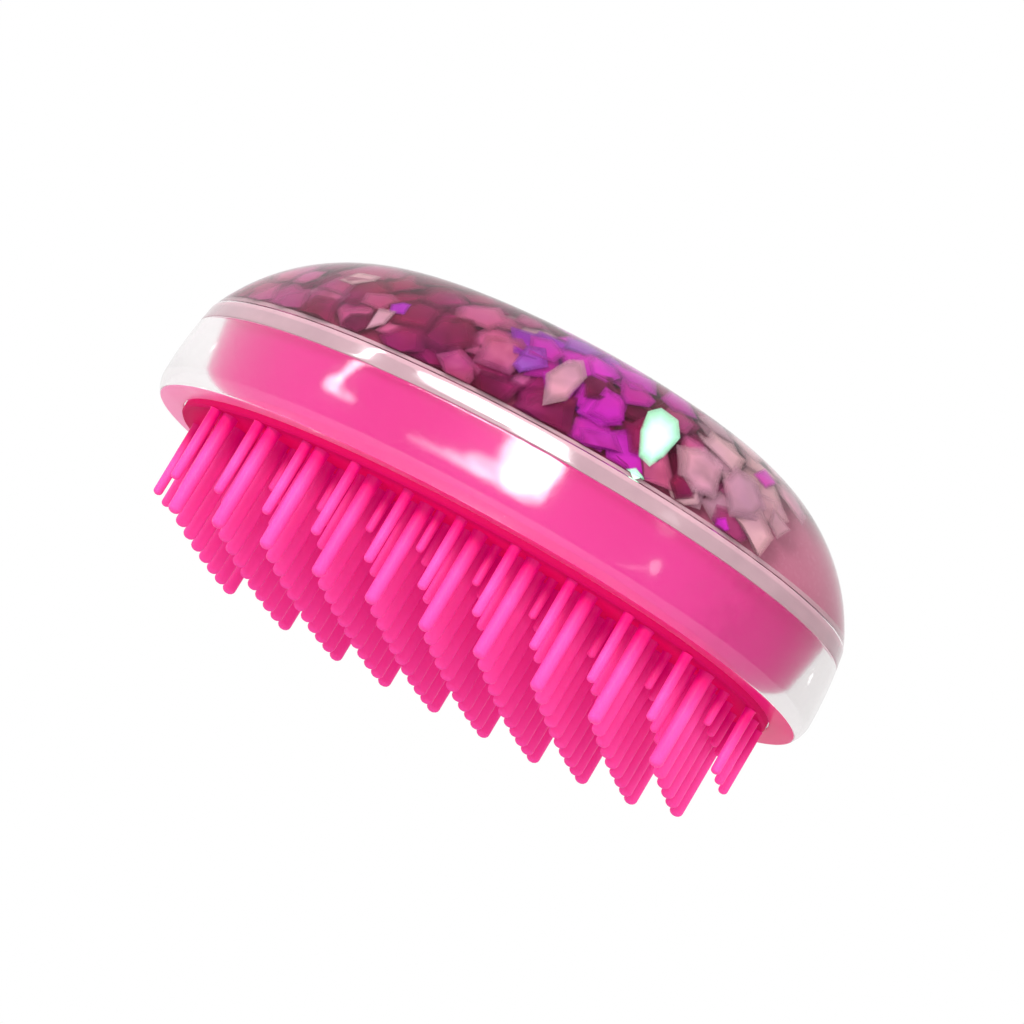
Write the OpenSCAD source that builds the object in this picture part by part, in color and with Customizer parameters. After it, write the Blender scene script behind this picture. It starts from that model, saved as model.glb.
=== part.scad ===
// Palm bristle brush: a clear domed back over loose flakes, a pink liner in
// a clear skirt, and an oval pad that carries columns of stepped bristles.
// Millimetres. +X runs along the brush, +Z points out of the domed back, and
// z = 0 is the level of the longest bristle tips.

/* [Body] */
// Overall length of the clear body
body_l = 105; // [98:1:112]
// Overall width of the clear body
body_w = 70; // [64:1:76]
// Height from the longest bristle tips to the top of the dome
body_h = 51; // [49:0.5:54]
// Height of the skirt's lower edge above the bristle tips
rim_z = 17.1; // [16.8:0.1:18]
// Height of the widest section
waist_z = 20.1; // [19.6:0.1:20.6]
// Height of the underside of the girth plate
girth_z = 28.4; // [27.5:0.1:29.5]
// Visible thickness of the girth plate
girth_t = 2.7; // [2.2:0.1:3.2]

/* [Shells] */
// Wall of the clear cover, measured along the length
cover_t = 1.5; // [1.3:0.1:1.9]
// Room between the cover and the core for the flakes
flake_gap = 3.4; // [3.2:0.1:3.7]
// Wall of the rose core dome
core_t = 1.6; // [1.2:0.1:2]
// Wall of the clear skirt at its lower edge
skirt_t = 3.9; // [3.6:0.1:4.2]
// Wall of the pink liner
liner_t = 1.6; // [1.2:0.1:2]
// Gap left around parts that slip inside each other
slip = 0.15; // [0.1:0.05:0.2]

/* [Flakes] */
// Distance across the points of one flake
flake_d = 6.4; // [4:0.2:6.6]
// Thickness of one flake
flake_t = 0.3; // [0.2:0.05:0.35]
// Distance between rings of flakes along the dome
flake_pitch = 7.8; // [7.4:0.2:9]

/* [Bristles] */
// Distance between repeats of the short, middle and long columns
column_pitch = 8.33; // [8:0.01:8.4]
// Distance between bristles within one column
bristle_pitch = 5.3; // [4.8:0.1:6]
// Diameter of a long bristle near its tip
long_d = 2; // [1.6:0.1:2.1]
// Diameter of a middle bristle near its tip
middle_d = 1.4; // [1.2:0.1:1.6]
// Diameter of a short bristle near its tip
short_d = 1.2; // [1:0.1:1.4]
// How much thicker a bristle is where it leaves the pad
root_extra = 0.2; // [0:0.05:0.25]
// How much shorter the middle bristles are
middle_drop = 4.2; // [3:0.1:5]
// How much shorter the short bristles are
short_drop = 9.3; // [8:0.1:10]
// Rise of the tips along half the length of the field
crown_x = 1.3; // [1:0.1:2]
// Place along the brush where the tips sit lowest
crown_mid = -12; // [-14:1:-6]
// Rise of the tips towards the two sides
crown_y = 1; // [0.5:0.1:2]

/* [Hidden] */
$fn = 96;
half_l = body_l / 2;
oval = body_w / body_l;             // the plan is a true ellipse
girth_top = girth_z + girth_t;

// outline of the dome: a shallow crown arc and a shoulder arc, tangent
crown_r = 160;
shoulder_r = 28.2;
shoulder_x = half_l - 27.1;
crown_z = body_h - crown_r;
shoulder_rise = sqrt(pow(crown_r - shoulder_r, 2) - pow(shoulder_x, 2));
shoulder_z = crown_z + shoulder_rise;
crown_dir = [shoulder_x, shoulder_rise] / (crown_r - shoulder_r);

// outline of the lower body: a gentle side arc over a tight rim arc
side_r = 60;
rim_r = 4.5;

// lower bore of the skirt and the pad in it
bore_rim = half_l - rim_r + sqrt(pow(rim_r, 2) - pow(waist_z - rim_z, 2)) - skirt_t;
bore_top = bore_rim + 1.3;
tongue_out = bore_top + 1.3;
tongue_h = 1;
pad_face = waist_z - 3.95;
pad_back = rim_z + 2.1;
pad_edge = bore_rim - slip;
deck_t = 1.6;

// pegs on the pad that press into bosses under the liner's deck
peg_d = 4;
peg_fit = 0.1;
peg_top = girth_z - deck_t - 1.4;
boss_d = 7.5;
boss_z = pad_back + 1.2;
PEGS = [for (x = [-30, 0, 30]) for (s = [-1, 1])
    [x, s * (x == 0 ? 20 : 14)]];

// seating of the cover and the core on the girth plate
upstand_in = 47;
upstand_out = 48.3;
upstand_h = 0.7;
seal_in = 50.1;
seal_out = 51;
seal_t = 0.6;

// bristle fields: half length, half width and exponent of each outline
middle_field = [47.3, 30.6, 2];
long_field = [47.3, 29.1, 2];
short_field = [50, 27.5, 1.3];
level_zone = 0.15;
pad_bevel = 0.3;
last_column = 11;
first_x = -last_column * column_pitch / 2;
first_in = 1.4;                     // first middle column, towards the middle
first_left_out = 2;
long_dx = 2.4;                      // long column, after a middle column
short_dx = 4.6;                     // short column, after a middle column

// flakes lie in two layers either side of the middle of the gap
flake_mid = cover_t + flake_gap / 2;
flake_step = 0.45;
flake_low = 34;                     // lowest ring, degrees up the shoulder
flake_arc_r = shoulder_r - flake_mid;
crown_w = asin(crown_dir.x);
shoulder_len = flake_arc_r * (90 - crown_w - flake_low) * PI / 180;
dome_len = shoulder_len + (crown_r - flake_mid) * crown_w * PI / 180;

// a half section turned into an oval body, a quarter turn at a time
module oval_turn() {
    for (q = [0 : 3])
        scale([1, oval, 1]) rotate([0, 0, 90 * q])
            rotate_extrude(angle = 90) children();
}

// half section of the dome, drawn in by t
module dome_half(t, base) {
    intersection() {
        translate([0, base]) square([half_l + 5, body_h]);
        union() {
            intersection() {
                translate([0, crown_z]) circle(crown_r - t, $fn = 720);
                polygon([[0, base - 1], [shoulder_x, base - 1],
                    [shoulder_x, shoulder_z],
                    [shoulder_x, shoulder_z] + 40 * crown_dir,
                    [0, shoulder_z + 60]]);
            }
            translate([shoulder_x, shoulder_z]) circle(shoulder_r - t, $fn = 180);
        }
    }
}

// half section of the lower body between two heights
module side_half(z0, z1) {
    intersection() {
        translate([0, z0]) square([half_l + 5, z1 - z0]);
        union() {
            intersection() {
                translate([half_l - side_r, waist_z]) circle(side_r, $fn = 360);
                translate([0, waist_z]) square([half_l + 5, body_h]);
            }
            translate([half_l - rim_r, waist_z]) circle(rim_r, $fn = 96);
            translate([0, rim_z]) square([half_l - rim_r, waist_z - rim_z + 1]);
        }
    }
}

module cover() {
    color([0.9, 0.86, 0.88, 0.35]) oval_turn() difference() {
        dome_half(0, girth_top);
        dome_half(cover_t, girth_top - 1);
    }
}

module cover_seal() {
    color([0.8, 0.75, 0.78]) oval_turn()
        translate([seal_in, girth_top - seal_t]) square([seal_out - seal_in, seal_t]);
}

module core_dome() {
    color([0.72, 0.4, 0.5]) oval_turn() difference() {
        dome_half(cover_t + flake_gap, girth_top);
        dome_half(cover_t + flake_gap + core_t, girth_top - 1);
    }
}

module girth_plate() {
    color([0.85, 0.8, 0.83, 0.5]) oval_turn() {
        difference() {
            side_half(girth_z, girth_top);
            translate([seal_in, girth_top - seal_t])
                square([seal_out - seal_in, seal_t + 1]);
        }
        translate([upstand_in, girth_top - 0.5])
            square([upstand_out - upstand_in, upstand_h + 0.5]);
        translate([bore_top + slip, girth_z - tongue_h + slip])
            square([tongue_out - bore_top - 2 * slip, tongue_h + 0.5]);
    }
}

module skirt() {
    color([0.9, 0.86, 0.88, 0.35]) oval_turn() difference() {
        side_half(rim_z, girth_z);
        polygon([[-1, rim_z - 1], [bore_rim, rim_z - 1], [bore_rim, rim_z],
            [bore_top, girth_z], [bore_top, girth_z + 1], [-1, girth_z + 1]]);
        translate([bore_top - 1, girth_z - tongue_h])
            square([tongue_out - bore_top + 1, tongue_h + 1]);
    }
}

module liner() {
    low = pad_edge;
    top = bore_top - slip;
    color([0.95, 0.35, 0.62]) difference() {
        union() {
            oval_turn() polygon([[low - liner_t, pad_back], [low, pad_back],
                [top, girth_z], [0, girth_z], [0, girth_z - deck_t],
                [top - liner_t, girth_z - deck_t]]);
            for (p = PEGS) translate([p.x, p.y, boss_z])
                cylinder(h = girth_z - deck_t - boss_z + 0.5, d = boss_d);
        }
        for (p = PEGS) translate([p.x, p.y, boss_z - 1])
            cylinder(h = girth_z - deck_t - boss_z + 1, d = peg_d + peg_fit);
    }
}

// level of a long bristle's tip above z = 0; tips near crown_mid are level
function tip_rise(x, y) = max(0, crown_x * pow((x - crown_mid) / middle_field[0], 2)
    + crown_y * pow(y / middle_field[1], 2) - level_zone);

// one bristle of diameter d, hanging from the pad with its blunt tip at tip_z
module bristle(x, y, tip_z, d) {
    translate([x, y, 0]) rotate_extrude($fn = 16)
        polygon([[0, tip_z], [0.275 * d, tip_z], [d / 2, tip_z + 0.3 * d],
            [(d + root_extra) / 2, pad_face], [0, pad_face]]);
}

// a column of bristles at x, centred, as many as the field's outline allows
// less the number left out
module column(x, field, drop, d, left_out = 0) {
    reach = field[1] * pow(1 - pow(abs(x) / field[0], field[2]), 1 / field[2]);
    n = floor(2 * reach / bristle_pitch) - left_out;
    for (j = [0 : n]) {
        y = (j - n / 2) * bristle_pitch;
        bristle(x, y, drop + tip_rise(x, y), d);
    }
}

// the first middle column has no long column beside it
module bristles_long() {
    color([0.98, 0.2, 0.58]) for (k = [1 : last_column - 1])
        column(first_x + k * column_pitch + long_dx, long_field, 0, long_d);
}

// the first middle column is drawn in and short
module bristles_middle() {
    color([0.98, 0.2, 0.58]) {
        column(first_x + first_in, middle_field, middle_drop, middle_d, first_left_out);
        for (k = [1 : last_column])
            column(first_x + k * column_pitch, middle_field, middle_drop, middle_d);
    }
}

module bristles_short() {
    color([0.98, 0.2, 0.58]) for (k = [0 : last_column - 1])
        column(first_x + k * column_pitch + short_dx, short_field, short_drop, short_d);
}

module pad() {
    color([0.96, 0.16, 0.52]) {
        oval_turn() polygon([[0, pad_face], [pad_edge - pad_bevel, pad_face],
            [pad_edge, pad_face + pad_bevel], [pad_edge, pad_back], [0, pad_back]]);
        for (p = PEGS) translate([p.x, p.y, pad_back - 0.5])
            cylinder(h = peg_top - pad_back + 0.5, d = peg_d);
    }
}

// long section of the dome drawn in by t, at distance s along it from the
// lowest ring of flakes: radius, height, and the normal's angle above level
function dome_at(s, t) =
    let (v = flake_low + s / flake_arc_r * 180 / PI,
         w = crown_w - (s - shoulder_len) / (crown_r - flake_mid) * 180 / PI)
    s < shoulder_len
        ? [shoulder_x + (shoulder_r - t) * cos(v),
           shoulder_z + (shoulder_r - t) * sin(v), v]
        : [(crown_r - t) * sin(w), crown_z + (crown_r - t) * cos(w), 90 - w];

// one six-sided flake lying flat in the gap, at turn az around the dome
module flake(at, az) {
    n = [cos(at.z) * cos(az), cos(at.z) * sin(az) / oval, sin(at.z)];
    translate([at.x * cos(az), oval * at.x * sin(az), at.y])
        rotate([0, acos(n.z / norm(n)), atan2(n.y, n.x)])
            translate([0, 0, -flake_t / 2]) cylinder(h = flake_t, d = flake_d, $fn = 6);
}

// every flake of one tint; tints are dealt out around each ring
module flakes(tint) {
    for (ring = [0 : floor(dome_len / flake_pitch)]) {
        t = flake_mid + (ring % 2 == 0 ? -1 : 1) * flake_step;
        at = dome_at(ring * flake_pitch, t);
        count = floor(2 * PI * oval * at.x / (flake_d + 0.2));
        if (count > 0) for (i = [0 : count - 1])
            if ((5 * i + 2 * floor(i / 4) + 3 * ring) % 6 == tint)
                flake(at, 360 * (i + 0.5 * (ring % 2)) / count);
    }
}

module flakes_maroon() { color([0.55, 0.12, 0.25]) flakes(0); }
module flakes_rose() { color([0.7, 0.35, 0.5]) flakes(1); }
module flakes_magenta() { color([0.75, 0.15, 0.6]) flakes(2); }
module flakes_violet() { color([0.55, 0.15, 0.65]) flakes(3); }
module flakes_silver() { color([0.75, 0.65, 0.68]) flakes(4); }
module flakes_green() { color([0.6, 0.9, 0.75]) flakes(5); }

cover();
cover_seal();
flakes_maroon();
flakes_rose();
flakes_magenta();
flakes_violet();
flakes_silver();
flakes_green();
core_dome();
girth_plate();
skirt();
liner();
pad();
bristles_long();
bristles_middle();
bristles_short();
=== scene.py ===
import math
import random

import bpy
from mathutils import Matrix, Vector


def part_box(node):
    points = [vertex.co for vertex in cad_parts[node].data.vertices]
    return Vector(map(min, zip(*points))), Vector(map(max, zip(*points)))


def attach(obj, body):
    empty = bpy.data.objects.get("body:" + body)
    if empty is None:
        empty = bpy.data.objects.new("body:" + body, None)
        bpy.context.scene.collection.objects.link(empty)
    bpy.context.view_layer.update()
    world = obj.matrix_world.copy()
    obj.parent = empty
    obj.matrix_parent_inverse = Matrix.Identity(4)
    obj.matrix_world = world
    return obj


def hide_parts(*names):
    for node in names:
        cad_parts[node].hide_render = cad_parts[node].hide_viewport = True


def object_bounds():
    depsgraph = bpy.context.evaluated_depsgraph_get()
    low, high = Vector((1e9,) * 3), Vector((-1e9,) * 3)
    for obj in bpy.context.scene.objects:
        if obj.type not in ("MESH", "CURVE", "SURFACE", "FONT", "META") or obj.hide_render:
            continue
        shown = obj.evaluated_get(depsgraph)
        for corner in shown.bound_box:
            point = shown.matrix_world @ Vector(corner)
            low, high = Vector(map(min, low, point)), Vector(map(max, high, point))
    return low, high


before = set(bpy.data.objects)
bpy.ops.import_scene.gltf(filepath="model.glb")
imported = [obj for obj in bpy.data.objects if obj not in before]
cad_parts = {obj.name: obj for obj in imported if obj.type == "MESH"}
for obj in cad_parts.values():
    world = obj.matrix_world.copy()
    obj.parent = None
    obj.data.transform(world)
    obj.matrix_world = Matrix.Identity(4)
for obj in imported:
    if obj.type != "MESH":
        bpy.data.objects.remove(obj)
cad_lo, cad_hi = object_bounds()
MM = 0.001
rng = random.Random(7)

# ---------------------------------------------------------------- proportions
HALF = cad_hi.x / MM                   # half the length of the body
OVAL = cad_hi.y / cad_hi.x             # plan width over plan length
GIRTH_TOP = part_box("cover")[0].z / MM
TOP = cad_hi.z / MM
GIRTH_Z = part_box("skirt")[1].z / MM
RIM_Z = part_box("skirt")[0].z / MM
PAD_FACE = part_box("pad")[0].z / MM
WAIST_Z = RIM_Z + 3.0                  # height of the widest section
CROWN_R, SHOULDER_R = 160.0, 28.2      # the dome's shallow crown arc and its shoulder arc
SHOULDER_X = HALF - 27.1
CROWN_Z = TOP - CROWN_R
SHOULDER_RISE = math.sqrt((CROWN_R - SHOULDER_R) ** 2 - SHOULDER_X ** 2)
SHOULDER_Z = CROWN_Z + SHOULDER_RISE
CROWN_W = math.asin(SHOULDER_X / (CROWN_R - SHOULDER_R))   # where the two arcs meet
SIDE_R, RIM_R = 60.0, 4.5              # the lower body's side arc and its rim arc
COVER_T, GAP, CORE_T = 1.5, 3.4, 1.6   # cover wall, flake gap and core wall
SKIRT_T = 3.9                          # skirt wall at its lower edge
BORE_SPREAD = 1.3                      # how much wider the skirt's bore is at its top
SLIT = 0.03                            # keeps touching faces from sharing a plane


# ---------------------------------------------------------------- mesh helpers
def new_object(name, verts, faces, smooth=35.0):
    mesh = bpy.data.meshes.new(name)
    mesh.from_pydata([tuple(c * MM for c in v) for v in verts], [], faces)
    mesh.validate()
    mesh.polygons.foreach_set("use_smooth", [True] * len(mesh.polygons))
    mesh.set_sharp_from_angle(angle=math.radians(smooth))
    mesh.update()
    obj = bpy.data.objects.new(name, mesh)
    bpy.context.scene.collection.objects.link(obj)
    return obj


SEGMENTS = 288                         # round a lathed shell
ARC_STEPS = 26                         # along each of the dome's two arcs


def lathe(outline):
    """An oval turn of a closed half section, as vertices and faces.

    Its points run anticlockwise, seen with r to the right and z up.
    """
    verts, rings = [], []
    for r, z in outline:
        if r < 1e-6:
            rings.append([len(verts)])
            verts.append((0.0, 0.0, z))
        else:
            ring = []
            for i in range(SEGMENTS):
                a = 2 * math.pi * i / SEGMENTS
                ring.append(len(verts))
                verts.append((r * math.cos(a), OVAL * r * math.sin(a), z))
            rings.append(ring)
    faces = []
    for k in range(len(rings)):
        a, b = rings[k], rings[(k + 1) % len(rings)]
        if len(a) == 1 and len(b) == 1:
            continue
        for i in range(SEGMENTS):
            j = (i + 1) % SEGMENTS
            if len(a) == 1:
                faces.append((a[0], b[j], b[i]))
            elif len(b) == 1:
                faces.append((a[i], a[j], b[0]))
            else:
                faces.append((a[i], a[j], b[j], b[i]))
    return verts, faces


def arc(cx, cz, r, a0, a1, n):
    """n + 1 points on an arc from angle a0 to a1, in degrees."""
    return [(cx + r * math.cos(math.radians(a0 + (a1 - a0) * i / n)),
             cz + r * math.sin(math.radians(a0 + (a1 - a0) * i / n))) for i in range(n + 1)]


def dome_line(t, base):
    """The dome outline drawn in by t, from height base up to the axis."""
    n = ARC_STEPS
    r = SHOULDER_R - t
    a0 = math.degrees(math.asin((base - SHOULDER_Z) / r))
    a1 = 90 - math.degrees(CROWN_W)
    up = arc(SHOULDER_X, SHOULDER_Z, r, a0, a1, n)
    over = [((CROWN_R - t) * math.sin(CROWN_W * (1 - i / n)),
             CROWN_Z + (CROWN_R - t) * math.cos(CROWN_W * (1 - i / n))) for i in range(1, n + 1)]
    over[-1] = (0.0, over[-1][1])
    return up + over


def side_x(z):
    """Half length of the lower body at height z."""
    if z >= WAIST_Z:
        return HALF - SIDE_R + math.sqrt(SIDE_R ** 2 - (z - WAIST_Z) ** 2)
    return HALF - RIM_R + math.sqrt(RIM_R ** 2 - (z - WAIST_Z) ** 2)


def round_corner(a, b, c, r):
    """Points that round the corner b of the path a-b-c by about r."""
    a, b, c = Vector(a), Vector(b), Vector(c)
    p, q = b + (a - b).normalized() * r, b + (c - b).normalized() * r
    return [tuple(p * (1 - s) ** 2 + b * 2 * s * (1 - s) + q * s * s)
            for s in (0.0, 0.25, 0.5, 0.75, 1.0)]


BORE_RIM = round(side_x(RIM_Z) - SKIRT_T, 3)   # to a micrometre
BORE_TOP = BORE_RIM + BORE_SPREAD


# ---------------------------------------------------------------- materials
TRAPPED_DEPTH = 2.5                    # glossy bounces after which a ray counts as trapped
ROOT_SHADE = (9.6, 14.8)                # heights over which painted shade turns a bristle crimson towards its root
CLEAR_TINT = (0.985, 0.955, 0.965)
SKIRT_TINT = (0.945, 0.915, 0.92)
END_SHADE_TINT = (0.80, 0.765, 0.765)       # painted shade: the skirt darker at its right end, where its wall is seen edge on
FOOT_SHARE = 0.92                      # how much of the skirt's foot face shows pink


class Nodes:
    """A short way to write a node tree."""

    def __init__(self, name):
        self.mat = bpy.data.materials.new(name)
        self.mat.use_nodes = True
        self.tree = self.mat.node_tree
        self.tree.nodes.clear()

    def put(self, kind, **values):
        node = self.tree.nodes.new("ShaderNode" + kind)
        for key, value in values.items():
            setattr(node, key, value)
        return node

    def set(self, node, **pairs):
        for key, value in pairs.items():
            self.feed(node.inputs[key.replace("_", " ")], value)
        return node

    def feed(self, socket, value):
        if isinstance(value, bpy.types.NodeSocket):
            self.tree.links.new(value, socket)
        elif isinstance(value, tuple) and socket.type == "RGBA":
            socket.default_value = (*value, 1.0)
        else:
            socket.default_value = value

    def noise(self, scale, detail=3.0, distortion=0.0):
        n = self.put("TexNoise")
        self.set(n, Vector=self.coords(), Scale=scale, Detail=detail, Distortion=distortion)
        return n.outputs["Fac"]

    def coords(self):
        if not hasattr(self, "_coords"):
            self._coords = self.put("TexCoord").outputs["Object"]
        return self._coords

    def ramp(self, fac, *stops):
        n = self.put("ValToRGB")
        e = n.color_ramp.elements
        while len(e) < len(stops):
            e.new(0.5)
        for item, (at, colour) in zip(e, stops):
            item.position, item.color = at, (*colour, 1.0)
        self.feed(n.inputs["Fac"], fac)
        return n.outputs["Color"]

    def span(self, value, low, high, to_low, to_high):
        n = self.put("MapRange")
        self.feed(n.inputs[0], value)
        for i, v in enumerate((low, high, to_low, to_high)):
            self.feed(n.inputs[i + 1], v)
        return n.outputs[0]

    def maths(self, op, a, b=0.0):
        n = self.put("Math", operation=op)
        self.feed(n.inputs[0], a)
        self.feed(n.inputs[1], b)
        return n.outputs[0]

    def mix(self, fac, a, b):
        """A mix of two colours."""
        n = self.put("Mix", data_type="RGBA")
        self.feed(n.inputs[0], fac)
        self.feed(n.inputs[6], a)
        self.feed(n.inputs[7], b)
        return n.outputs[2]

    def bump(self, height, distance, strength):
        n = self.set(self.put("Bump"), Height=height, Distance=distance, Strength=strength)
        return n.outputs["Normal"]

    def axes(self, vector):
        n = self.put("SeparateXYZ")
        self.feed(n.inputs[0], vector)
        return n.outputs

    def principled(self, **pairs):
        return self.set(self.put("BsdfPrincipled"), **pairs).outputs[0]

    def blend(self, fac, a, b):
        """A mix of two shaders."""
        n = self.put("MixShader")
        self.feed(n.inputs[0], fac)
        self.tree.links.new(a, n.inputs[1])
        self.tree.links.new(b, n.inputs[2])
        return n.outputs[0]

    def done(self, shader):
        self.tree.links.new(shader, self.put("OutputMaterial").inputs["Surface"])
        return self.mat


def lets_lamps_through(m, shader, tint=(1.0, 1.0, 1.0)):
    """Light reaches what is inside the clear parts, and trapped reflections don't go dark."""
    path = m.put("LightPath")
    inner = m.maths("MAXIMUM", path.outputs["Is Shadow Ray"], path.outputs["Is Diffuse Ray"])
    trapped = m.maths("GREATER_THAN", path.outputs["Glossy Depth"], TRAPPED_DEPTH)
    inner = m.maths("MAXIMUM", inner, trapped)
    clear = m.put("BsdfTransparent")
    m.feed(clear.inputs["Color"], tint)
    return m.blend(inner, shader, clear.outputs[0])


def clear_body(m, tint):
    """The shader of thick clear plastic, with a faint swirl."""
    swirl = m.noise(40.0, 2.0)
    return m.principled(
        Base_Color=m.mix(m.span(swirl, 0.3, 0.7, 0.0, 0.15), tint, (1.0, 1.0, 1.0)),
        Transmission_Weight=1.0, IOR=1.49,
        Roughness=m.span(m.noise(900.0, 2.0), 0.35, 0.75, 0.07, 0.10),
        Normal=m.bump(swirl, 0.00006, 0.6))


def wetted_plastic(name, tint):
    """Clear plastic whose inner face doesn't bend light, as the flakes lie in a clear fill."""
    m = Nodes(name)
    wet = m.put("Attribute", attribute_name="wet").outputs["Fac"]
    shader = m.blend(wet, clear_body(m, tint), m.put("BsdfTransparent").outputs[0])
    return m.done(lets_lamps_through(m, shader, tint))


def footed_plastic(name, tint, lit_left, shaded_right):
    """Clear plastic that shows the pink behind it at its lower edge."""
    m = Nodes(name)
    foot = m.put("Attribute", attribute_name="foot").outputs["Fac"]
    outside = m.maths("SUBTRACT", 1.0, m.put("NewGeometry").outputs["Backfacing"])
    along = m.maths("ADD", m.axes(m.coords())["X"], m.maths("MULTIPLY", m.noise(300.0, 3.0), 0.02))
    # painted light and shade: the pink foot runs from pale at the lit left end to crimson at the shaded right
    # end
    pink = m.principled(
        Base_Color=m.ramp(m.span(along, -0.045, 0.045, 0.0, 1.0), (0.1, lit_left), (0.6, shaded_right)),
        Roughness=0.35, Specular_IOR_Level=0.1)
    # painted shade: the clear wall turns darker towards the right end
    body = m.ramp(m.span(along, 0.046, 0.052, 0.0, 1.0), (0.0, tint), (1.0, END_SHADE_TINT))
    shader = m.blend(m.maths("MULTIPLY", m.maths("MULTIPLY", foot, outside), FOOT_SHARE),
                     clear_body(m, body), pink)
    return m.done(lets_lamps_through(m, shader, tint))


def frosted_plastic(name):
    """Milky rose plastic of the girth band."""
    m = Nodes(name)
    cloud = m.noise(220.0, 3.0)
    shader = m.principled(
        Base_Color=m.ramp(cloud, (0.3, (0.50, 0.32, 0.365)), (0.7, (0.57, 0.365, 0.41))),
        Transmission_Weight=0.35, IOR=1.49, Roughness=m.span(cloud, 0.3, 0.7, 0.06, 0.14),
        Coat_Weight=0.6, Coat_Roughness=0.04)
    return m.done(lets_lamps_through(m, shader, (0.92, 0.80, 0.84)))


def seal_rubber(name):
    m = Nodes(name)
    cloud = m.noise(500.0, 4.0)
    return m.done(m.principled(
        Base_Color=m.ramp(cloud, (0.3, (0.50, 0.42, 0.44)), (0.7, (0.62, 0.54, 0.56))),
        Roughness=m.span(cloud, 0.3, 0.7, 0.45, 0.6), Normal=m.bump(cloud, 0.00005, 0.5)))


def satin_plastic(name, dark, light, rough):
    m = Nodes(name)
    broad, fine = m.noise(28.0, 2.0), m.noise(1500.0, 3.0)
    return m.done(m.principled(
        Base_Color=m.ramp(broad, (0.35, dark), (0.65, light)),
        Roughness=m.span(fine, 0.3, 0.7, rough - 0.05, rough + 0.06),
        Specular_IOR_Level=0.1, Normal=m.bump(fine, 0.00002, 0.5)))


def core_plastic(name):
    """Rose plastic, paler at the bare end, with painted shade where the flakes lie over it."""
    m = Nodes(name)
    place = m.maths("ADD", m.axes(m.coords())["X"], m.maths("MULTIPLY", m.noise(60.0, 3.0), 0.012))
    # painted shade: the core is darker along the stretch under the flakes
    colour = m.ramp(m.span(place, -0.040, 0.050, 0.0, 1.0),
                    (0.0, (0.42, 0.10, 0.17)), (0.3, (0.20, 0.02, 0.06)),
                    (0.75, (0.26, 0.035, 0.09)), (0.92, (0.40, 0.13, 0.20)))
    fine = m.noise(1500.0, 3.0)
    return m.done(m.principled(
        Base_Color=colour, Roughness=m.span(fine, 0.3, 0.7, 0.2, 0.3), Specular_IOR_Level=0.2,
        Normal=m.bump(fine, 0.00002, 0.5)))


def bristle_elastomer(name):
    """Soft pink rods, with painted shade deepening them to the pad's crimson at the root."""
    m = Nodes(name)
    broad, fine = m.noise(60.0, 2.0), m.noise(2600.0, 3.0)
    # painted shade: the rods turn crimson towards the root, where they shade each other
    root = m.span(m.axes(m.coords())["Z"], ROOT_SHADE[0] * MM, ROOT_SHADE[1] * MM, 0.0, 1.0)
    body = m.ramp(broad, (0.3, (0.80, 0.056, 0.275)), (0.7, (0.86, 0.07, 0.315)))
    return m.done(m.principled(
        Base_Color=m.mix(root, body, (0.60, 0.002, 0.10)),
        # painted light: a faint pink glow lifts the rods' shade
        Emission_Color=(0.8, 0.0, 0.40), Emission_Strength=0.16,
        Roughness=m.span(fine, 0.3, 0.7, 0.36, 0.48),
        Subsurface_Weight=0.25, Subsurface_Radius=(1.0, 0.25, 0.5), Subsurface_Scale=0.0006,
        Specular_IOR_Level=0.15, Normal=m.bump(fine, 0.00002, 0.6)))


def pad_elastomer(name):
    """Crimson face, partly painted shade from the rods over it, with more painted shade at its edge and on
    its upright sides, and pinker sides behind the clear skirt.
    """
    m = Nodes(name)
    broad, fine = m.noise(60.0, 2.0), m.noise(2600.0, 3.0)
    at = m.axes(m.coords())
    x, y = at["X"], m.maths("DIVIDE", at["Y"], OVAL)
    radius = m.maths("SQRT", m.maths("ADD", m.maths("MULTIPLY", x, x), m.maths("MULTIPLY", y, y)))
    # the face's crimson is partly painted shade from the rods
    middle = m.ramp(broad, (0.3, (0.80, 0.002, 0.13)), (0.7, (0.86, 0.003, 0.15)))
    # painted shade: the face darkens towards its edge
    face = m.mix(m.span(radius, 0.0425, 0.0465, 0.0, 1.0), middle, (0.56, 0.002, 0.10))
    facing = m.axes(m.put("NewGeometry").outputs["Normal"])
    # painted shade: the upright sides darker than the face
    upright = m.span(m.maths("ABSOLUTE", facing["Z"]), 0.3, 0.9, 1.0, 0.0)
    covered = m.span(at["Z"], (RIM_Z + 0.1) * MM, (RIM_Z + 0.4) * MM, 0.0, 1.0)
    return m.done(m.principled(
        Base_Color=m.mix(covered, m.mix(upright, face, (0.46, 0.002, 0.07)), (0.62, 0.02, 0.20)),
        Roughness=m.span(fine, 0.3, 0.7, 0.54, 0.68), Specular_IOR_Level=0.03,
        Subsurface_Weight=0.25, Subsurface_Radius=(1.0, 0.25, 0.5), Subsurface_Scale=0.0006,
        Normal=m.bump(fine, 0.00002, 0.6)))


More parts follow.
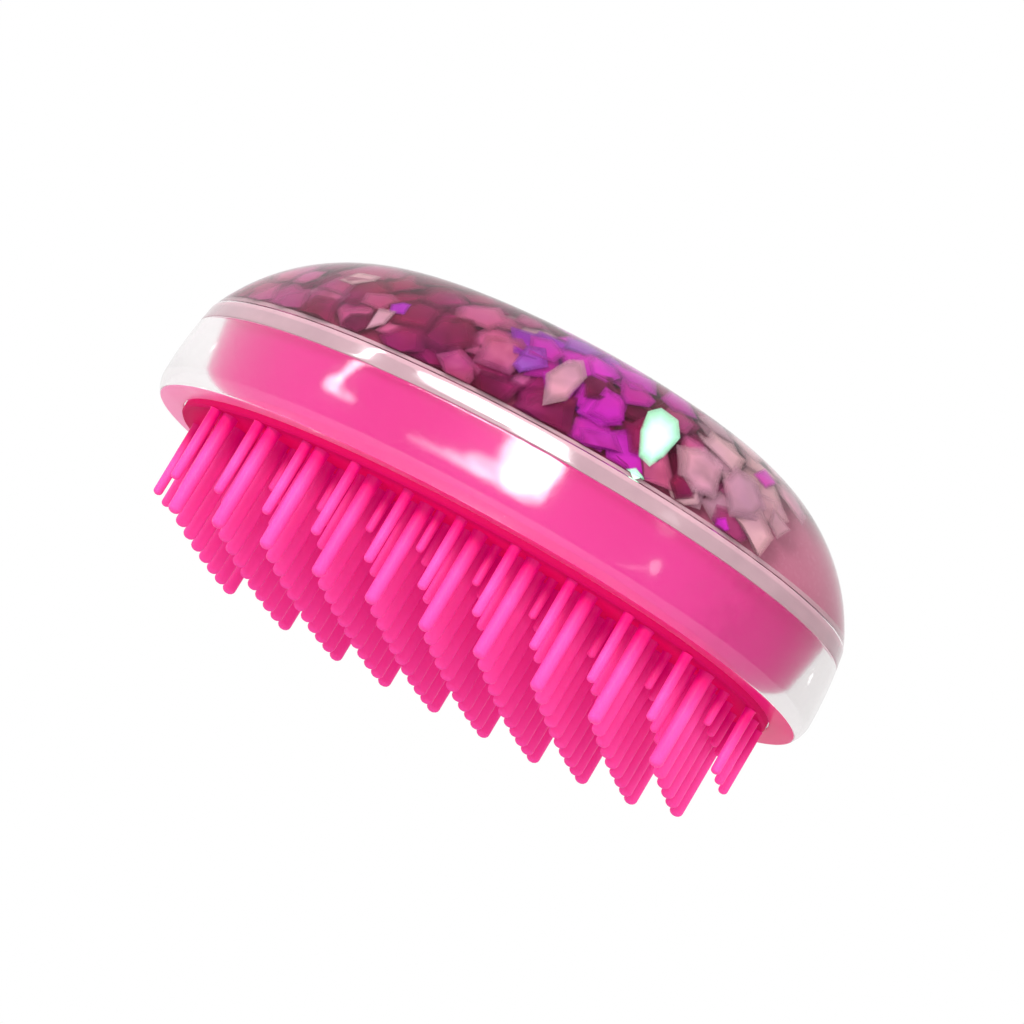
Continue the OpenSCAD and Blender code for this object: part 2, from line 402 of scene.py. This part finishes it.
def film(name, shades, glow, middle=None):
    """Reflective film: each flake takes its own shade, with a rainbow shift across it."""
    m = Nodes(name)
    island = m.put("NewGeometry").outputs["Random Per Island"]
    drift = m.noise(170.0, 2.0, distortion=0.8)
    edge = m.put("Attribute", attribute_name="edge").outputs["Fac"]
    pick = m.maths("ADD", m.maths("MULTIPLY", island, 0.55), m.maths("MULTIPLY", drift, 0.45))
    colour = m.ramp(pick, *[((i + 0.5) / len(shades), c) for i, c in enumerate(shades)])
    shifted = m.put("HueSaturation")
    m.feed(shifted.inputs["Hue"], m.span(m.noise(120.0, 2.0), 0.35, 0.65, 0.478, 0.505))
    m.feed(shifted.inputs["Value"], m.span(drift, 0.3, 0.7, 0.74, 1.08))
    m.feed(shifted.inputs["Color"], colour)
    tone = shifted.outputs[0]
    # painted light: each flake glows, less at its edges, to lift the shade between flakes; given a middle
    # colour, the glow is a painted flash, whitish in the middle
    shine = m.mix(m.span(edge, 0.0, 0.8, 0.0, 1.0), middle, tone) if middle else tone
    shader = m.principled(
        Base_Color=tone, Metallic=0.2, Specular_IOR_Level=0.1,
        Roughness=m.span(drift, 0.3, 0.7, 0.3, 0.45),
        Emission_Color=shine,
        Emission_Strength=m.span(edge, 0.3, 1.0, glow, 0.4 * glow),
        Normal=m.bump(m.noise(300.0, 3.0), 0.0004, 0.4))
    soft = m.maths("MULTIPLY", m.span(edge, 0.55, 1.0, 0.10, 0.95), m.span(drift, 0.3, 0.7, 0.7, 1.1))
    return m.done(m.blend(soft, shader, m.put("BsdfTransparent").outputs[0]))


def dress(obj, material, node):
    """Make obj stand for a CAD node, with a material and the record's slot for it."""
    obj.data.materials.append(material)
    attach(obj, "root")
    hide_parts(node)


def dress_node(name, material):
    """Give a CAD node that keeps its own mesh a material."""
    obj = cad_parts[name]
    for s in obj.material_slots:
        s.material = material
    if not obj.material_slots:
        obj.data.materials.append(material)


# ---------------------------------------------------------------- shells
SEAL_IN, SEAL_OUT, SEAL_T = 50.1, 51.0, 0.6
UP_IN, UP_OUT, UP_H = 47.0, 48.3, 0.7  # the upstand on the plate that seats the core
BAND_ROUND = 0.3                       # rounding where the band meets the skirt


def mark(obj, name, test):
    """Give each point of obj the value 1 where test(r, z) holds and 0 elsewhere."""
    layer = obj.data.attributes.new(name, "FLOAT", "POINT")
    for v, item in zip(obj.data.vertices, layer.data):
        r = math.hypot(v.co.x, v.co.y / OVAL) / MM
        item.value = 1.0 if test(r, v.co.z / MM) else 0.0


def clear_cover():
    """The clear dome, with a small chamfer at its foot; its inner face is marked as wet."""
    outer = dome_line(0, GIRTH_TOP + 0.25)
    inner = dome_line(COVER_T, GIRTH_TOP + 0.05)
    foot_out = dome_line(0, GIRTH_TOP)[0][0]
    foot_in = dome_line(COVER_T, GIRTH_TOP)[0][0]
    foot = [(foot_in, GIRTH_TOP + SLIT), (foot_out - 0.2, GIRTH_TOP + SLIT),
            (foot_out - 0.03, GIRTH_TOP + 0.12)]
    obj = new_object("clear_cover", *lathe(foot + outer + inner[::-1]))
    heights = {round(z, 2) for r, z in inner}
    mark(obj, "wet", lambda r, z: round(z, 2) in heights)
    dress(obj, wetted_plastic("clear_plastic", CLEAR_TINT), "cover")


def rose_core():
    """The inner dome that the flakes lie on."""
    outer = dome_line(COVER_T + GAP, GIRTH_TOP + SLIT)
    inner = dome_line(COVER_T + GAP + CORE_T, GIRTH_TOP + SLIT)
    obj = new_object("rose_core", *lathe(outer + inner[::-1]))
    dress(obj, core_plastic("rose_plastic"), "core_dome")


def girth_band():
    """The plate between dome and skirt, with its seal groove and upstand; its edge is the band."""
    low, high = GIRTH_Z + BAND_ROUND, GIRTH_TOP - BAND_ROUND
    wall = [(side_x(z), z) for z in (low + (high - low) * i / 6 for i in range(7))]
    low_edge = round_corner((BORE_TOP, GIRTH_Z), (side_x(GIRTH_Z), GIRTH_Z), wall[0], BAND_ROUND)
    high_edge = round_corner(wall[-1], (side_x(GIRTH_TOP), GIRTH_TOP), (SEAL_OUT, GIRTH_TOP), 0.2)
    groove = [(SEAL_OUT, GIRTH_TOP), (SEAL_OUT, GIRTH_TOP - SEAL_T), (SEAL_IN, GIRTH_TOP - SEAL_T),
              (SEAL_IN, GIRTH_TOP)]
    upstand = [(UP_OUT, GIRTH_TOP), (UP_OUT, GIRTH_TOP + UP_H), (UP_IN, GIRTH_TOP + UP_H),
               (UP_IN, GIRTH_TOP)]
    obj = new_object("girth_band", *lathe(
        [(0, GIRTH_Z)] + low_edge + wall[1:-1] + high_edge + groove + upstand + [(0, GIRTH_TOP)]))
    dress(obj, frosted_plastic("frosted_plastic"), "girth_plate")


def clear_skirt():
    """The clear lower shell, open below; its lower face is marked as the foot."""
    high = GIRTH_Z - BAND_ROUND
    side = [(side_x(z), z) for z in (WAIST_Z + (high - WAIST_Z) * i / 14 for i in range(15))]
    rim_angle = math.degrees(math.asin((RIM_Z - WAIST_Z) / RIM_R))
    rim = arc(HALF - RIM_R, WAIST_Z, RIM_R, rim_angle, 0, 12)
    bore_top, bore_rim = (BORE_TOP, GIRTH_Z - SLIT), (BORE_RIM, RIM_Z)
    obj = new_object("clear_skirt", *lathe(
        round_corner(bore_top, bore_rim, rim[0], 0.3)
        + round_corner(bore_rim, rim[0], rim[1], 0.25)
        + rim[1:] + side[1:]
        + round_corner(side[-1], (side_x(GIRTH_Z), GIRTH_Z - SLIT), bore_top, 0.15)
        + [bore_top]))
    mark(obj, "foot", lambda r, z: z < RIM_Z + 0.1)
    # the foot's pink: pale at the left end and crimson at the right end, painted light and shade
    dress(obj, footed_plastic("clear_plastic_skirt", SKIRT_TINT, (1.0, 0.24, 0.52), (0.85, 0.012, 0.20)),
          "skirt")


clear_cover()
rose_core()
girth_band()
clear_skirt()
dress_node("cover_seal", seal_rubber("seal_rubber"))

# ---------------------------------------------------------------- liner, pad
dress_node("liner", satin_plastic("pink_plastic", (0.56, 0.013, 0.19), (0.61, 0.018, 0.225), 0.4))
dress_node("pad", pad_elastomer("pad_elastomer"))


# ---------------------------------------------------------------- bristles
NEAR = 2.3                             # more than a bristle, less than their spacing
TAPER = 0.1                            # how much a bristle narrows to its tip, on the radius
ROD_SIDES = 20


def rods(node):
    """Centre, tip height and root radius, in mm, of each bristle of a CAD node."""
    found = []
    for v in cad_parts[node].data.vertices:
        x, y, z = (c / MM for c in v.co)
        for f in found:
            if abs(f[0] - x) < NEAR and abs(f[1] - y) < NEAR:
                f[2], f[3] = min(f[2], x), max(f[3], x)
                f[4], f[5] = min(f[4], y), max(f[5], y)
                f[6] = min(f[6], z)
                break
        else:
            found.append([x, y, x, x, y, y, z])
    return sorted(((f[2] + f[3]) / 2, (f[4] + f[5]) / 2, f[6], (f[3] - f[2]) / 2) for f in found)


def bristle_mesh(name, node, material):
    """One object with a rounded, tapered rod for each bristle of a CAD node."""
    verts, faces = [], []
    sides = ROD_SIDES
    for x, y, tip, root_r in rods(node):
        tip_r = root_r - TAPER
        cap = 0.8 * tip_r
        shape = [(tip_r * math.sin(math.radians(a)), tip + cap * (1 - math.cos(math.radians(a))))
                 for a in (22, 45, 68, 90)]
        for s in (0.25, 0.5, 0.75):
            shape.append((tip_r + TAPER * s, tip + cap + (PAD_FACE - tip - cap) * s))
        shape += [(root_r, PAD_FACE - 0.2), (root_r + 0.08, PAD_FACE)]
        first = len(verts)
        verts.append((x, y, tip))
        for r, z in shape:
            for i in range(sides):
                a = 2 * math.pi * i / sides
                verts.append((x + r * math.cos(a), y + r * math.sin(a), z))
        for i in range(sides):
            j = (i + 1) % sides
            faces.append((first, first + 1 + j, first + 1 + i))
            for k in range(len(shape) - 1):
                p, q = first + 1 + k * sides, first + 1 + (k + 1) * sides
                faces.append((p + i, p + j, q + j, q + i))
        top = first + 1 + (len(shape) - 1) * sides
        faces.append(tuple(top + i for i in range(sides)))
    obj = new_object(name, verts, faces, 60)
    dress(obj, material, node)


bristle_mat = bristle_elastomer("bristle_elastomer")
for length in ("long", "middle", "short"):
    bristle_mesh("rods_" + length, "bristles_" + length, bristle_mat)


# ---------------------------------------------------------------- flakes
TINTS = ("maroon", "rose", "magenta", "violet", "silver", "green")
# the shades of each tint of film, of which each flake takes one
FILMS = {
    "maroon": ((0.085, 0.003, 0.022), (0.125, 0.006, 0.035), (0.22, 0.009, 0.058), (0.165, 0.005, 0.06)),
    "rose": ((0.36, 0.05, 0.14), (0.44, 0.085, 0.19), (0.28, 0.03, 0.105), (0.38, 0.095, 0.17)),
    "magenta": ((0.42, 0.015, 0.32), (0.52, 0.02, 0.40), (0.36, 0.012, 0.20), (0.48, 0.035, 0.40)),
    "violet": ((0.26, 0.012, 0.34), (0.36, 0.015, 0.38), (0.26, 0.06, 0.34), (0.30, 0.015, 0.28)),
    "silver": ((0.45, 0.22, 0.265), (0.53, 0.31, 0.33), (0.41, 0.21, 0.27), (0.55, 0.25, 0.32)),
    "green": ((0.25, 0.85, 0.45), (0.50, 0.95, 0.70), (0.40, 0.90, 0.60), (0.65, 1.0, 0.85)),
}
# up to a place along the brush, in mm, the share of each tint but green
DRIFT = (
    (-33, (0.15, 0.80, 0.00, 0.00, 0.05)),
    (-24, (0.50, 0.36, 0.03, 0.04, 0.07)),
    (-8, (0.84, 0.12, 0.04, 0.00, 0.00)),
    (0.5, (0.55, 0.33, 0.07, 0.00, 0.05)),
    (18, (0.14, 0.14, 0.46, 0.22, 0.04)),
    (26, (0.35, 0.47, 0.12, 0.00, 0.06)),
    (60, (0.06, 0.22, 0.04, 0.00, 0.68)),
)
FLAKE_FLOOR = GIRTH_TOP + UP_H + 0.15  # no flake dips into the girth plate
FLAKE_T = 0.12                         # thickness of a flake
ARC_START = 3.4                        # height above the girth from which dome_at measures
PITCH = 6.4                            # distance between rings of flakes, and along a ring
LAYERS = 4
LAYER_STEP = 0.6                       # depth from one layer to the next
FIRST_DEPTH = 0.75                     # depth of the first layer under the cover
LOOSE_DEPTH = 0.35                     # depth of the single flakes under the cover
RING_START = -1.9                      # where the first ring lies, from the start of dome_at
POLE = 3.0                             # no ring lies nearer the axis than this
FLAKE_R = (3.0, 5.4)                   # range of a flake's radius
RIM_TURN, RIM_DIP = 0.28, 0.72         # how far a flake's corners stray round and inwards
CORE_SHARE = 0.55                      # radius of a flake's inner ring of points, as a share
TILT_TURN = 3.1                        # turns a flake's tilt away from its own turn
MAX_TILT = 4                           # degrees
ROUND_STRAY, CLIMB_STRAY = 0.15, 0.7   # how far a flake strays round its ring, and up the dome
BARE_X = 39.0                          # past here the core shows between few flakes


def dome_at(s, t):
    """Radius, height and normal angle of the dome outline drawn in by t, s mm up from its start."""
    r = SHOULDER_R - t
    v0 = math.degrees(math.asin((GIRTH_TOP + ARC_START - SHOULDER_Z) / r))
    v1 = 90 - math.degrees(CROWN_W)
    length = math.radians(v1 - v0) * r
    if s < length:
        v = v0 + math.degrees(s / r)
        return SHOULDER_X + r * math.cos(math.radians(v)), SHOULDER_Z + r * math.sin(math.radians(v)), v
    w = CROWN_W - (s - length) / (CROWN_R - t)
    return (CROWN_R - t) * math.sin(w), CROWN_Z + (CROWN_R - t) * math.cos(w), 90 - math.degrees(w)


def tint_for(x, roll):
    """Loose flakes drift into patches along the brush, so a tint depends on where it lies."""
    weights = next(w for limit, w in DRIFT if x < limit)
    for tint, w in zip(TINTS, weights):
        roll -= w
        if roll < 0:
            return tint
    return "rose"


def flake(build, x, y, z, normal, radius, turn, tilt, corners, stretch=1.0):
    """Add one thin irregular plate to a build of vertices, faces and edge shares."""
    n = Vector(normal).normalized()
    e1 = n.cross(Vector((0, 0, 1))).normalized()
    e2 = n.cross(e1)
    towards = Vector((math.cos(turn * TILT_TURN), math.sin(turn * TILT_TURN)))
    n2 = (n + (e1 * towards.x + e2 * towards.y) * math.tan(tilt)).normalized()
    e1 = (e1 - n2 * e1.dot(n2)).normalized()
    e2 = n2.cross(e1)
    centre = Vector((x, y, z))
    rim = []
    for i in range(corners):
        a = turn + 2 * math.pi * (i + rng.uniform(-RIM_TURN, RIM_TURN)) / corners
        r = radius * rng.uniform(RIM_DIP, 1.0)
        rim.append((r * math.cos(a), r * math.sin(a) * stretch))
    verts, faces, edge = build
    base = len(verts)
    for half in (FLAKE_T / 2, -FLAKE_T / 2):
        verts.append(tuple(centre + n2 * half))
        edge.append(0.0)
        for share in (CORE_SHARE, 1.0):
            for u, v in rim:
                p = centre + (e1 * u + e2 * v) * share + n2 * half
                verts.append((p.x, p.y, max(p.z, FLAKE_FLOOR + half)))
                edge.append(share)
    c = corners
    top, bottom = base, base + 1 + 2 * c
    for i in range(c):
        j = (i + 1) % c
        faces.append((top, top + 1 + i, top + 1 + j))
        faces.append((top + 1 + i, top + 1 + c + i, top + 1 + c + j, top + 1 + j))
        faces.append((bottom, bottom + 1 + j, bottom + 1 + i))
        faces.append((bottom + 1 + j, bottom + 1 + c + j, bottom + 1 + c + i, bottom + 1 + i))
        faces.append((top + 1 + c + i, bottom + 1 + c + i, bottom + 1 + c + j, top + 1 + c + j))


def climb_to(z, t):
    """The distance up the outline drawn in by t, as dome_at takes it, that reaches height z."""
    low, high = -5.0, 40.0
    for _ in range(30):
        middle = (low + high) / 2
        low, high = (middle, high) if dome_at(middle, t)[1] < z else (low, middle)
    return low


def dome_normal(v, a):
    """The outward direction of the dome where its outline leans by v and the plan turns by a."""
    v = math.radians(v)
    return math.cos(v) * math.cos(a), math.cos(v) * math.sin(a) / OVAL, math.sin(v)


def scatter(builds):
    """Rings of flakes in layers under the cover, their tints in patches along the brush."""
    for layer in range(LAYERS):
        depth = COVER_T + FIRST_DEPTH + LAYER_STEP * layer
        ring = 0
        while True:
            s = RING_START + PITCH * (ring + layer / LAYERS)
            rho = dome_at(s, depth)[0]
            if rho < POLE:
                break
            count = max(3, int(2 * math.pi * rho * math.sqrt((1 + OVAL ** 2) / 2) / PITCH))
            for i in range(count):
                stray = rng.uniform(-ROUND_STRAY, ROUND_STRAY)
                a = 2 * math.pi * (i + 0.5 * (ring % 2) + 0.25 * layer + stray) / count
                reach, z, v = dome_at(s + rng.uniform(-CLIMB_STRAY, CLIMB_STRAY), depth)
                x, y = reach * math.cos(a), OVAL * reach * math.sin(a)
                roll, size, turn = rng.random(), rng.uniform(*FLAKE_R), rng.uniform(0, 2 * math.pi)
                tilt, corners = math.radians(rng.uniform(0, MAX_TILT)), rng.choice((4, 5, 5, 6))
                if x > BARE_X + 2 * math.sin(5 * a) - 1.5 * layer:
                    continue
                tint = tint_for(x + 2.5 * math.sin(7 * a), roll)
                flake(builds[tint], x, y, z, dome_normal(v, a), size, turn, tilt, corners)
            ring += 1


# single flakes that lie just under the cover: tint, x, height, radius, turn, corners, stretch
LOOSE = (
    ("silver", -28.0, 40.5, 3.0, 0.5, 5, 1.0), ("silver", -20.5, 35.3, 2.4, 1.2, 4, 1.3),
    ("violet", -19.0, 38.0, 1.8, 0.2, 5, 1.0), ("magenta", 1.5, 42.0, 3.6, 0.9, 5, 1.0),
    ("violet", 1.0, 39.2, 3.0, 0.6, 5, 1.3), ("maroon", 10.3, 40.6, 2.6, 0.2, 6, 1.6),
    ("silver", 6.4, 38.9, 2.7, 0.3, 6, 2.4), ("maroon", 27.0, 34.0, 2.4, 0.4, 5, 1.2),
    ("magenta", 13.5, 38.8, 3.6, 1.9, 5, 1.1), ("magenta", 9.0, 43.5, 3.4, 0.1, 6, 1.0),
    ("green", 20.7, 38.6, 3.1, 0.35, 8, 2.2), ("green", 21.8, 31.2, 1.6, 0.0, 5, 1.2),
    ("silver", 27.6, 37.6, 4.0, 0.7, 6, 1.3), ("silver", 33.0, 38.4, 4.4, 0.1, 6, 1.3),
    ("magenta", 33.8, 32.6, 1.5, 0.8, 5, 1.0), ("silver", 37.0, 34.2, 4.0, 0.2, 4, 1.5),
    ("silver", 38.5, 37.5, 2.8, 0.2, 4, 1.0))


def place_loose(builds):
    """The single flakes, on the near side of the dome."""
    depth = COVER_T + LOOSE_DEPTH
    for tint, x, height, size, turn, corners, stretch in LOOSE:
        reach, _, v = dome_at(climb_to(height, depth), depth)
        a = -math.acos(x / reach)
        flake(builds[tint], x, OVAL * reach * math.sin(a), height, dome_normal(v, a), size, turn, 0.0,
              corners, stretch)


builds = {tint: ([], [], []) for tint in TINTS}
scatter(builds)
place_loose(builds)
for tint in TINTS:
    verts, faces, edge = builds[tint]
    obj = new_object("film_" + tint, verts, faces, 30)
    layer = obj.data.attributes.new("edge", "FLOAT", "POINT")
    layer.data.foreach_set("value", edge)
    # painted light: the green flakes carry a strong painted flash, whitish in the middle; the others a faint
    # glow
    flash = {"glow": 0.75, "middle": (0.9, 1.0, 0.95)} if tint == "green" else {"glow": 0.13}
    dress(obj, film("film_" + tint, FILMS[tint], **flash), "flakes_" + tint)

# ---------------------------------------------------------------- stage
FLOOR_HALF = 1.5                       # metres
AIM = (0, 0, 0.026)                    # the point that the lamps face, in metres
LAMP_DISTANCE = 0.6                    # metres from there

scene = bpy.context.scene
scene.view_settings.view_transform = "Standard"

floor_mesh = bpy.data.meshes.new("floor")
floor_mesh.from_pydata([(x * FLOOR_HALF, y * FLOOR_HALF, 0) for x, y in ((-1, -1), (1, -1), (1, 1), (-1, 1))],
                       [], [(0, 1, 2, 3)])
floor = bpy.data.objects.new("floor", floor_mesh)
scene.collection.objects.link(floor)


def floor_paint(name):
    """Pale matt floor, not there from below, nor for shadow, bounce and refracted rays."""
    m = Nodes(name)
    rays = m.put("LightPath")
    hidden = m.put("NewGeometry").outputs["Backfacing"]
    for ray in ("Is Shadow Ray", "Is Diffuse Ray", "Is Transmission Ray"):
        hidden = m.maths("MAXIMUM", hidden, rays.outputs[ray])
    surface = m.put("BsdfDiffuse")
    m.feed(surface.inputs["Color"],
           m.ramp(m.noise(6.0, 3.0), (0.3, (0.80, 0.80, 0.80)), (0.7, (0.83, 0.83, 0.83))))
    return m.done(m.blend(hidden, surface.outputs[0], m.put("BsdfTransparent").outputs[0]))


floor_mesh.materials.append(floor_paint("floor"))

world = bpy.data.worlds.new("studio")
scene.world = world
world.use_nodes = True
tree = world.node_tree
tree.nodes.clear()
out = tree.nodes.new("ShaderNodeOutputWorld")
path = tree.nodes.new("ShaderNodeLightPath").outputs
where = tree.nodes.new("ShaderNodeTexCoord").outputs["Generated"]


def across(axis, low, high, at_low, at_high):
    """A white light whose level changes between two places along an axis of directions."""
    dot = tree.nodes.new("ShaderNodeVectorMath")
    dot.operation = "DOT_PRODUCT"
    tree.links.new(where, dot.inputs[0])
    dot.inputs[1].default_value = Vector(axis).normalized()
    span = tree.nodes.new("ShaderNodeMapRange")
    tree.links.new(dot.outputs["Value"], span.inputs[0])
    for i, v in enumerate((low, high, at_low, at_high)):
        span.inputs[i + 1].default_value = v
    shade = tree.nodes.new("ShaderNodeBackground")
    shade.inputs["Color"].default_value = (1, 1, 1, 1)
    tree.links.new(span.outputs[0], shade.inputs["Strength"])
    return shade.outputs[0]


def world_maths(op, a, b):
    """A maths node of the world between a socket a and a socket or number b."""
    node = tree.nodes.new("ShaderNodeMath")
    node.operation = op
    tree.links.new(a, node.inputs[0])
    if isinstance(b, bpy.types.NodeSocket):
        tree.links.new(b, node.inputs[1])
    else:
        node.inputs[1].default_value = b
    return node.outputs[0]


def choose(fac, a, b):
    """The world light b where fac is 1, and a where it is 0."""
    mixer = tree.nodes.new("ShaderNodeMixShader")
    for socket, source in zip(mixer.inputs, (fac, a, b)):
        tree.links.new(source, socket)
    return mixer.outputs[0]


# white where it is seen, soft where it lights, dim where the near side mirrors it
white = across((0, 0, 1), -1.0, 1.0, 1.0, 1.0)
lit = across((-0.25, -1.0, 0.15), -1.0, 1.0, 0.68, 1.15)
mirrored = across((-0.6, 1.0, 0.0), -0.3, 0.7, 0.10, 0.90)
trapped = world_maths("GREATER_THAN", path["Glossy Depth"], TRAPPED_DEPTH)
seen = world_maths("MAXIMUM", path["Is Camera Ray"], path["Is Transmission Ray"])
indirect = choose(path["Is Glossy Ray"], lit, mirrored)
shown = choose(world_maths("MAXIMUM", seen, trapped), indirect, white)
tree.links.new(shown, out.inputs["Surface"])


def softbox(name, az, el, wide, tall, radiance, roll=0.0, shape="ELLIPSE"):
    """A lamp seen from the brush at azimuth az, from -Y towards +X, and elevation el.

    Angles and sizes are in degrees, and radiance is how bright its face is.
    """
    a, e = math.radians(az), math.radians(el)
    towards = Vector((math.sin(a) * math.cos(e), -math.cos(a) * math.cos(e), math.sin(e)))
    data = bpy.data.lights.new(name, "AREA")
    data.shape = shape
    data.size = 2 * LAMP_DISTANCE * math.tan(math.radians(wide / 2))
    data.size_y = 2 * LAMP_DISTANCE * math.tan(math.radians(tall / 2))
    data.energy = radiance * data.size * data.size_y * math.pi
    lamp = bpy.data.objects.new(name, data)
    lamp.location = Vector(AIM) + towards * LAMP_DISTANCE
    turn = towards.to_track_quat("Z", "Y").to_matrix()
    lamp.rotation_euler = (turn @ Matrix.Rotation(math.radians(roll), 3, "Z")).to_euler()
    lamp.visible_camera = False
    lamp.visible_transmission = False
    scene.collection.objects.link(lamp)
    return lamp


# the bright oval on the near side, and the bridge that joins it to the strips
softbox("key_wide", -1, 19.6, 15, 14.5, 3)
softbox("key_oval", -1, 19.8, 13.5, 13, 8)
softbox("key_middle", -0.5, 20, 12.5, 11, 8)
softbox("key_foot", 0.5, 15.2, 11, 7, 8)
softbox("key_block", 0.5, 18.5, 9.5, 9.5, 8, shape="RECTANGLE")
softbox("key_bridge", -6.5, 14.2, 14, 3.8, 9, roll=-6)
# the strips along the band and along the skirt
softbox("top_strip", -15, 25, 36, 5, 12)
softbox("top_strip_core", -10, 25, 26, 4, 14)
softbox("low_strip", -17, 12.9, 20, 1.1, 7)
softbox("low_strip_end", -12, 13.4, 13, 2.0, 6, roll=-4)
# the branched highlight at the left
softbox("left_bar", -48, 23, 2.6, 16, 16, roll=-12)
softbox("left_node", -50, 15.3, 4.5, 3, 12)
softbox("left_branch", -46, 14.2, 8, 1.3, 9, roll=-2)
# the small lights at the right end, and the glints in both ends of the skirt
softbox("right_patch", 35, 23, 6, 5, 1.5)
softbox("right_line", 31.5, 11.6, 12, 0.7, 3, roll=26)
softbox("right_dot", 37, 14.2, 3, 3, 5)
softbox("right_fill", 80, 3, 60, 50, 0.8, shape="RECTANGLE").visible_glossy = False
softbox("left_glint", -101, 13, 2, 1.2, 3)
softbox("right_glint", 130, 14, 2, 1.2, 8, shape="RECTANGLE")

# ---------------------------------------------------------------- camera
YAW, RISE, LEAN = 16.2, -12.0, 30.74   # degrees: round the brush, above level, turned on its axis
LENS, SENSOR = 151.27, 36.0            # mm
CAMERA_AT = (0.1654, -0.5655, -0.0986)  # metres

cam_data = bpy.data.cameras.new("camera")
cam_data.sensor_width, cam_data.lens = SENSOR, LENS
cam_data.clip_start, cam_data.clip_end = 0.01, 20.0
camera = bpy.data.objects.new("camera", cam_data)
yaw, rise, lean = math.radians(YAW), math.radians(RISE), math.radians(LEAN)
back = Vector((math.sin(yaw) * math.cos(rise), -math.cos(yaw) * math.cos(rise), math.sin(rise)))
right = (-back).cross(Vector((0, 0, 1))).normalized()
up = right.cross(-back)
cam_x = math.cos(lean) * right + math.sin(lean) * up
cam_y = -math.sin(lean) * right + math.cos(lean) * up
camera.matrix_world = Matrix([*zip(cam_x, cam_y, back, CAMERA_AT), (0, 0, 0, 1)])
scene.collection.objects.link(camera)
scene.camera = camera
